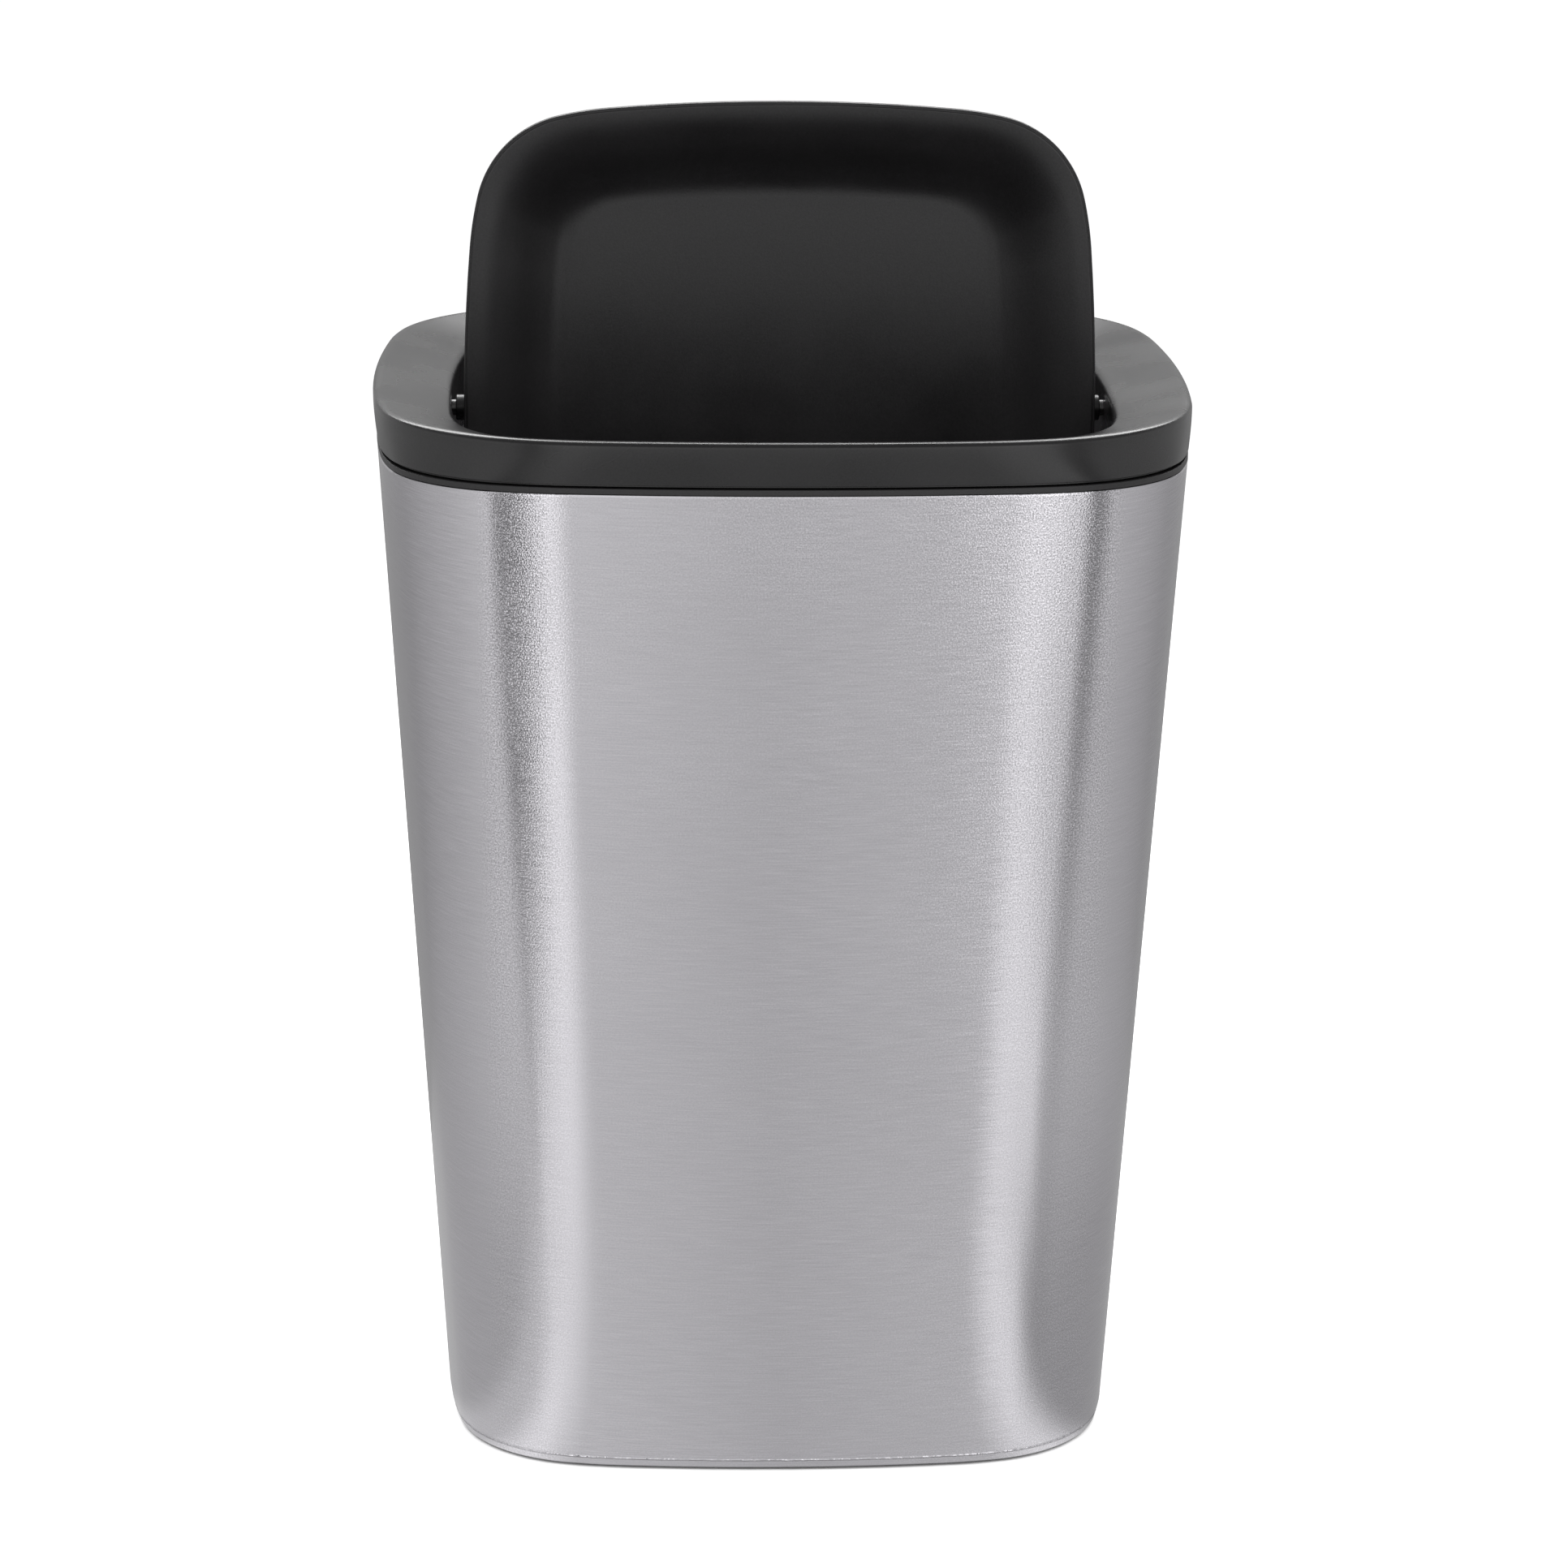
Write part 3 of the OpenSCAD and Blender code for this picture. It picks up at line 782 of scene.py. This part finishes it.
def lid_stations():
    """The whole frame: band, funnel, roll, throat, plug skirt and the band's inner face."""
    edge = FRAME_EDGE
    rest = COLLAR_Z + SEAT_GAP
    span = RING[0] - THROAT[0]
    stations = band_stations()
    start = stations[-1]
    roll = [
        (mix(THROAT, RING, ROLL_R * (1 - math.cos(a)) / span), roll_z + ROLL_R * math.sin(a))
        for a in reversed(arc_share(12, math.pi / 2 - SLOPE))
    ]
    stations += [
        (mix(start[0], roll[0][0], i / 6), mix(start[1], roll[0][1], i / 6))
        for i in range(1, 6)
    ]
    stations += roll
    stations += [
        (THROAT, THROAT_Z + edge),
        (inset(THROAT, -edge), THROAT_Z),
        (inset(THROAT, -FRAME_T + edge), THROAT_Z),
        (inset(THROAT, -FRAME_T), THROAT_Z + edge),
        (inset(THROAT, -FRAME_T), under_z),
        (wrap_at(BODY_H, plug_in + PLUG_T), plug_top),
        (wrap_at(PLUG_Z, plug_in + PLUG_T), PLUG_Z),
        (wrap_at(PLUG_Z, plug_in + edge), PLUG_Z),
        (wrap_at(PLUG_Z + edge, plug_in), PLUG_Z + edge),
        (wrap_at(BODY_H, plug_in), plug_top),
        (inset(RING, BAND_T), plug_top + SEAM_GAP),
        (inset(BAND, BAND_T), rest),
        (inset(BAND, SEAM_STEP), rest),
        (inset(BAND, SEAM_STEP), BAND_Z),
    ]
    return stations


def rib_mesh(quarter, off):
    """One of the ribs that tie the throat's wall to the plug skirt."""
    bow = TOP[1] - math.sqrt(TOP[1] ** 2 - RIB_OFF**2)
    throat_mid = THROAT[0] + FRAME_T / 2
    plug_mid = plug_in + PLUG_T / 2
    bite = 0.4 * MM
    outline = [
        (throat_mid - bow, THROAT_Z + RIB_T),
        (wrap_at(PLUG_Z, plug_mid)[0] - bow, PLUG_Z + RIB_T),
        (wrap_at(BODY_H, plug_mid)[0] - bow, plug_top + bite),
        (throat_mid - bow, under_z + bite),
    ]
    mesh = prism("rib", outline, RIB_T, SMALL_BEVEL)
    turn = math.pi / 2 * quarter
    c, s = math.cos(turn), math.sin(turn)

    def place(p):
        x, y = p[0], off + RIB_T / 2 - p[2]
        return (x * c - y * s, x * s + y * c, p[1])

    return placed(mesh, place)


def boss_mesh(side):
    """Bearing boss outside the throat's wall, with its outer edge eased."""
    edge = 0.3 * MM
    start = THROAT[0] + FRAME_T / 2
    bore = PIN_R + PIN_PLAY
    profile = [(start, BOSS_R), (BOSS_X - edge, BOSS_R), (BOSS_X, BOSS_R - edge)]
    profile += [(BOSS_X, bore), (BOSS_X - BORE_DEPTH, bore)]
    mesh = revolve("boss", profile)
    return placed(mesh, lambda p: (side * p[0], side * p[1], p[2] + PIVOT_Z))


lid_parts = [loft("lid", lid_stations(), corner_steps=30)]
lid_parts += [rib_mesh(q, off) for q in range(4) for off in (-RIB_OFF, RIB_OFF)]
lid_parts += [boss_mesh(side) for side in (-1, 1)]
lid_mesh = joined("lid_moulding", lid_parts)
piece(lid_mesh, "lid", ["lid_frame"], black_lid)

# Flap

RIM_T = 0.9 * MM
LIP_H = 2.6 * MM
LIP_R = 0.8 * MM
DISH_DEPTH = 11 * MM
DISH_WALL = 19.5 * MM
DISH_CORNER = 12 * MM
FLAP_T = 1.5 * MM
DISH_IN = RIM_T + DISH_WALL
DISH = (FLAP[0] - DISH_IN, FLAP[1] - DISH_IN, DISH_CORNER)
UNDER_SHARES = ((0, 0), (0.5, 0.12), (0.62, 1), (1, 1))
OVER_SHARES = ((0, 0), (0.46, 0.13), (0.57, 1), (1, 1))
EAR_R = 3.0 * MM
EAR_T = 3.4 * MM
EAR_FOOT = 11 * MM
WEB_T = 1.6 * MM
SHOULDER_X = FLAP[0] + 1.9 * MM
EAR_X = FLAP[0] - EAR_T
# The fine groove in the flap's rim, as (depth in from the edge, height) in mm, with eased edges
GROOVE_PROFILE = (
    (0.72, 0.01),
    (0.66, 0.04),
    (0.61, 0.1),
    (0.6, 0.25),
    (0.36, 0.25),
    (0.35, 0.1),
    (0.33, 0.03),
    (0.28, 0.0),
)


def upright(p):
    """From the closed flap about its hinge to the upright resting pose."""
    return (p[0], p[2], PIVOT_Z - p[1])


def curve(low, high, shares, t):
    """A point on the dish wall's cubic curve, as (depth in from the edge, height)."""
    points = [(mix(low[0], high[0], s[0]), mix(low[1], high[1], s[1])) for s in shares]
    weights = ((1 - t) ** 3, 3 * t * (1 - t) ** 2, 3 * t * t * (1 - t), t**3)
    return tuple(sum(w * p[i] for w, p in zip(weights, points)) for i in (0, 1))


def under(t):
    """The dish wall's hollow face, from the rim to the dish."""
    return curve((RIM_T, 0.0), (DISH_IN, DISH_DEPTH), UNDER_SHARES, t)


def over(t):
    """The dish wall's outer face, from the lip to the dish."""
    return curve((LIP_R, LIP_H), (DISH_IN, DISH_DEPTH + FLAP_T), OVER_SHARES, t)


def flap_stations():
    """From the middle of the hollow face out to the rim, round the lip and back over the dish."""
    steps = 26
    edge = 0.2 * MM
    flat_in = 3 * MM

    def at(p):
        return (mix(FLAP, DISH, p[0] / DISH_IN), p[1] - PIVOT_RISE)

    centre = inset(DISH, flat_in)
    stations = [(centre, DISH_DEPTH - PIVOT_RISE)]
    stations += [at(under(i / steps)) for i in range(steps, -1, -1)]
    stations += [
        (inset(FLAP, depth * MM), height * MM - PIVOT_RISE)
        for depth, height in GROOVE_PROFILE
    ]
    stations += [
        (inset(FLAP, edge * (1 - math.sin(a))), edge * (1 - math.cos(a)) - PIVOT_RISE)
        for a in arc_share(3)
    ]
    stations += [
        (inset(FLAP, LIP_R * (1 - math.cos(a))), LIP_H - LIP_R * (1 - math.sin(a)) - PIVOT_RISE)
        for a in arc_share(5)[:-1]
    ]
    stations += [at(over(i / steps)) for i in range(steps + 1)]
    stations.append((centre, DISH_DEPTH + FLAP_T - PIVOT_RISE))
    return stations


def ear_meshes(side):
    """Ear plate with its shoulder, and the web that ties it to the dish's wall."""
    bite = 1 * MM
    foot = bite - PIVOT_RISE
    arc = [(EAR_R * math.cos(a), EAR_R * math.sin(a)) for a in arc_share(16, math.pi)]
    outline = [(-EAR_FOOT / 2, foot), (EAR_FOOT / 2, foot)] + arc
    ear = prism("ear", outline, EAR_T - LIP_R, 0.25 * MM)
    placed(ear, lambda p: upright((side * (EAR_X + p[2]), side * p[0], p[1])))
    shoulder_r = EAR_R - 0.4 * MM
    edge = 0.2 * MM
    shoulder = revolve(
        "shoulder",
        [
            (EAR_X + bite, shoulder_r),
            (SHOULDER_X - edge, shoulder_r),
            (SHOULDER_X, shoulder_r - edge),
            (SHOULDER_X, PIN_R * 0.9),
        ],
    )
    placed(shoulder, lambda p: (side * p[0], side * p[1], p[2] + PIVOT_Z))
    buried = []
    for i in range(17):
        a, b = under(i / 16), over(i / 16)
        p = ((a[0] + b[0]) / 2, (a[1] + b[1]) / 2)
        if p[0] > EAR_T:
            buried.append((FLAP[0] - p[0], p[1] - PIVOT_RISE))
    web = prism(
        "web",
        ([(EAR_X + bite, 0.0), (EAR_X + bite, foot + bite)] + buried)[::-1],
        WEB_T,
        SMALL_BEVEL,
    )
    placed(web, lambda p: upright((side * p[0], side * (WEB_T / 2 - p[2]), p[1])))
    return [ear, shoulder, web]


flap_parts = [loft("flap_skin", flap_stations(), capped=True, corner_steps=26, place=upright)]
flap_parts += ear_meshes(-1) + ear_meshes(1)
flap_mesh = joined("flap_moulding", flap_parts)
piece(flap_mesh, "flap", ["flap"], black_flap, 38)

# Pivot pins

HEAD_R = 2.6 * MM
HEAD_H = 1.0 * MM
HEAD_EDGE = 0.1 * MM


def pin_mesh(side, name):
    """Headed pin with a domed head and an eased tip."""
    tip = EAR_X
    head = pin_high.x - HEAD_H
    ease = 0.2 * MM
    dome = head + HEAD_EDGE
    profile = [(tip, PIN_R - ease), (tip + ease, PIN_R), (head, PIN_R), (head, HEAD_R - HEAD_EDGE)]
    profile += [
        (dome + (pin_high.x - dome) * math.sin(a), HEAD_R * math.cos(a * 0.75))
        for a in arc_share(6)
    ]
    mesh = revolve(name, profile)
    return placed(mesh, lambda p: (side * p[0], side * p[1], p[2] + PIVOT_Z))


for side, label in ((-1, "left"), (1, "right")):
    piece(pin_mesh(side, "pin_" + label), "flap", ["pivot_pin_" + label], pin_steel)

# Studio

# How bright the studio looks from the bin, as (degrees from the front, level)
AROUND = (
    (-180, 0.28),
    (-110, 0.38),
    (-60, 0.58),
    (-36, 0.72),
    (-13, 0.74),
    (0, 0.61),
    (12, 0.67),
    (18, 0.76),
    (36, 0.64),
    (60, 0.58),
    (110, 0.38),
    (180, 0.28),
)
# Lamps and flags over it, as (from, to, in degrees; level; nearest, furthest in metres)
PANELS = (
    (-110.0, -26.0, 0.52, 0.00, 0.20),
    (22.0, 110.0, 0.42, 0.00, 0.20),
    (-19.5, -14.8, 1.12, 0.00, 0.16),
    (15.2, 19.8, 1.05, 0.00, 0.20),
    (-22.5, -14.8, 1.12, 0.16, 0.38),
    (17.0, 27.0, 1.10, 0.20, 0.40),
    (-21.0, -15.8, 1.32, 0.38, 9.0),
    (-31.0, -24.3, 0.04, 0.38, 9.0),
    (17.5, 24.0, 1.12, 0.40, 0.57),
    (25.5, 39.0, 0.28, 0.40, 0.57),
    (17.5, 34.5, 1.18, 0.57, 9.0),
    (36.0, 46.5, 0.04, 0.57, 9.0),
)
PANEL_SOFT = 1.6  # degrees over which a panel's edge fades
REACH_SOFT = 0.04  # metres over which its end fades
PANEL_APEX = 0.112  # the panels fan out from a point this far behind the bin's middle
WALL_R = 0.8
WALL_H = 0.7
FLOOR_LIFT = 0.8
# How far the painted contact shadow under the bin's foot reaches
CONTACT_SHADOW_REACH = 2.2 * MM
SKY_MIRRORED = 0.12
SKY_LIGHT = 0.35


def studio_level(g):
    """How bright the floor or the walls look at a place, from what stands round the bin."""
    place = g.add("ShaderNodeTexCoord").outputs["Object"]
    parts = g.add("ShaderNodeSeparateXYZ", {"Vector": place}).outputs
    ahead = g.math("SUBTRACT", PANEL_APEX, parts["Y"])
    turn = g.math("DEGREES", g.math("ARCTAN2", parts["X"], ahead))
    reach = g.add("ShaderNodeVectorMath", {0: place}, operation="LENGTH").outputs["Value"]
    fac = g.math("MULTIPLY_ADD", turn, 1 / 360, 0.5)
    around = g.ramp(fac, [((d + 180) / 360, grey(v)) for d, v in AROUND])
    level = g.add("ShaderNodeRGBToBW", {"Color": around}).outputs[0]
    for low, high, bright, near, far in PANELS:
        share = inside(g, turn, low, high, PANEL_SOFT)
        share = g.math("MULTIPLY", share, inside(g, reach, near, far, REACH_SOFT))
        level = g.math("MULTIPLY_ADD", g.math("SUBTRACT", bright, level), share, level)
    return level


def floor_material():
    """White floor: lit by the lamps, so it keeps the shadow, and lifted to white for what sees it, the
    lift darkened near the bin's foot by a painted contact shadow.
    """
    g = Graph(bpy.data.materials.new("studio_floor"))
    path = g.add("ShaderNodeLightPath").outputs
    seen = g.math("MAXIMUM", path["Is Camera Ray"], path["Is Transmission Ray"])
    place = g.add("ShaderNodeTexCoord").outputs["Object"]
    mirrored = g.math("MULTIPLY", path["Is Glossy Ray"], studio_level(g))
    lift = g.math("MAXIMUM", g.math("MULTIPLY", seen, FLOOR_LIFT), mirrored)
    # Painted contact shadow: ambient occlusion darkens the floor's lift to white near the bin's foot.
    open_share = g.add("ShaderNodeAmbientOcclusion", {"Distance": CONTACT_SHADOW_REACH}, samples=8)
    painted_contact_shadow = between(g, open_share.outputs["AO"], (0.1, 0.45))
    glow = g.add("ShaderNodeEmission", {"Strength": g.math("MULTIPLY", lift, painted_contact_shadow)})
    tone = g.ramp(g.noise(place, 6.0), [(0.0, grey(0.78)), (1.0, grey(0.82))])
    shown = g.math("SUBTRACT", 1.0, path["Is Glossy Ray"])
    tone = g.add("ShaderNodeVectorMath", {0: tone, 3: shown}, operation="SCALE").outputs[0]
    lit = g.add("ShaderNodeBsdfDiffuse", {"Color": tone})
    both = g.add("ShaderNodeAddShader", {0: lit.outputs[0], 1: glow.outputs[0]})
    return g.finish(both.outputs[0])


def drum_material():
    """Walls with the same panels, brighter than the floor and dark at the top."""
    g = Graph(bpy.data.materials.new("studio_drum"))
    place = g.add("ShaderNodeTexCoord").outputs["Object"]
    parts = g.add("ShaderNodeSeparateXYZ", {"Vector": place}).outputs
    rise = between(g, parts["Z"], (0.02, 0.09), 1.0, 1.5)
    fade = between(g, parts["Z"], (0.5, WALL_H), 1.0, 0.15)
    level = g.math("MULTIPLY", g.math("MULTIPLY", studio_level(g), rise), fade)
    return g.finish(g.add("ShaderNodeEmission", {"Strength": level}).outputs[0])


def stage_mesh(name, verts, faces, material):
    mesh = bpy.data.meshes.new(name)
    mesh.from_pydata(verts, [], faces)
    mesh.materials.append(material)
    obj = bpy.data.objects.new(name, mesh)
    bpy.context.scene.collection.objects.link(obj)
    return obj


def floor():
    size = 6.0
    corners = [(-size, -size, 0), (size, -size, 0), (size, size, 0), (-size, size, 0)]
    stage_mesh("floor", corners, [(0, 1, 2, 3)], floor_material())


def drum(radius, height):
    """Soft panels and flags round the bin. Only reflections see it."""
    steps = 96
    rim = [
        (radius * math.cos(a), radius * math.sin(a)) for a in arc_share(steps, 2 * math.pi)[:-1]
    ]
    verts = [(x, y, z) for z in (0.002, height) for x, y in rim]
    faces = [(k, (k + 1) % steps, steps + (k + 1) % steps, steps + k) for k in range(steps)]
    obj = stage_mesh("studio_drum", verts, faces, drum_material())
    for ray in ("camera", "diffuse", "shadow", "transmission", "volume_scatter"):
        setattr(obj, "visible_" + ray, False)


def studio_world():
    """White for the camera, a soft grey sky for the light and the reflections."""
    g = Graph(bpy.data.worlds.new("studio"), "ShaderNodeOutputWorld")
    path = g.add("ShaderNodeLightPath").outputs
    seen = g.math("MAXIMUM", path["Is Camera Ray"], path["Is Transmission Ray"])
    mirrored = g.math("MULTIPLY", path["Is Glossy Ray"], SKY_MIRRORED)
    level = g.math("MAXIMUM", g.math("MAXIMUM", seen, mirrored), SKY_LIGHT)
    back = g.add("ShaderNodeBackground", {"Strength": level})
    bpy.context.scene.world = g.finish(back.outputs[0])


def softbox(name, place, target, width, height, radiance, mirrored=True):
    """A rectangular lamp that shines evenly, given by how bright its face is."""
    light = bpy.data.lights.new(name, "AREA")
    light.shape = "RECTANGLE"
    light.size, light.size_y = width, height
    light.energy = radiance * math.pi * width * height
    obj = bpy.data.objects.new(name, light)
    obj.location = place
    obj.rotation_euler = (Vector(target) - Vector(place)).to_track_quat("-Z", "Y").to_euler()
    obj.visible_glossy = mirrored
    bpy.context.scene.collection.objects.link(obj)


floor()
drum(WALL_R, WALL_H)
studio_world()
softbox("overhead", (0.0, -0.2, 1.3), (0.0, 0.0, 0.15), 1.2, 1.0, 1.0, mirrored=False)
softbox("back_strip", (0.0, 0.50, 0.70), (0.0, -0.08, 0.21), 0.8, 0.36, 7.0)

# Camera

# From the fit to the photograph's outline, in widths of the ring and in radians
FIT_UNIT = 0.165
PHOTO_WIDTH = 1932
CAM_DISTANCE = 6.3066 * FIT_UNIT
CAM_TILT = 0.2594
CAM_TURN = -0.0368
CAM_ROLL = 0.0073
CAM_TARGET = Vector((0.0107, 0.0, 0.7614)) * FIT_UNIT
CAM_FOCAL = 6120.4755 / PHOTO_WIDTH

camera_data = bpy.data.cameras.new("camera")
camera_data.sensor_width = 36.0
camera_data.lens = CAM_FOCAL * camera_data.sensor_width
camera_data.clip_start, camera_data.clip_end = 0.05, 50.0
camera = bpy.data.objects.new("camera", camera_data)
back = Vector(
    (
        math.sin(CAM_TURN) * math.cos(CAM_TILT),
        -math.cos(CAM_TURN) * math.cos(CAM_TILT),
        math.sin(CAM_TILT),
    )
)
camera.location = CAM_TARGET + back * CAM_DISTANCE
camera.rotation_mode = "QUATERNION"
aim = (-back).to_track_quat("-Z", "Y")
camera.rotation_quaternion = aim @ Quaternion((0, 0, 1), CAM_ROLL)
bpy.context.scene.collection.objects.link(camera)
bpy.context.scene.camera = camera

bpy.context.scene.view_settings.view_transform = "Standard"
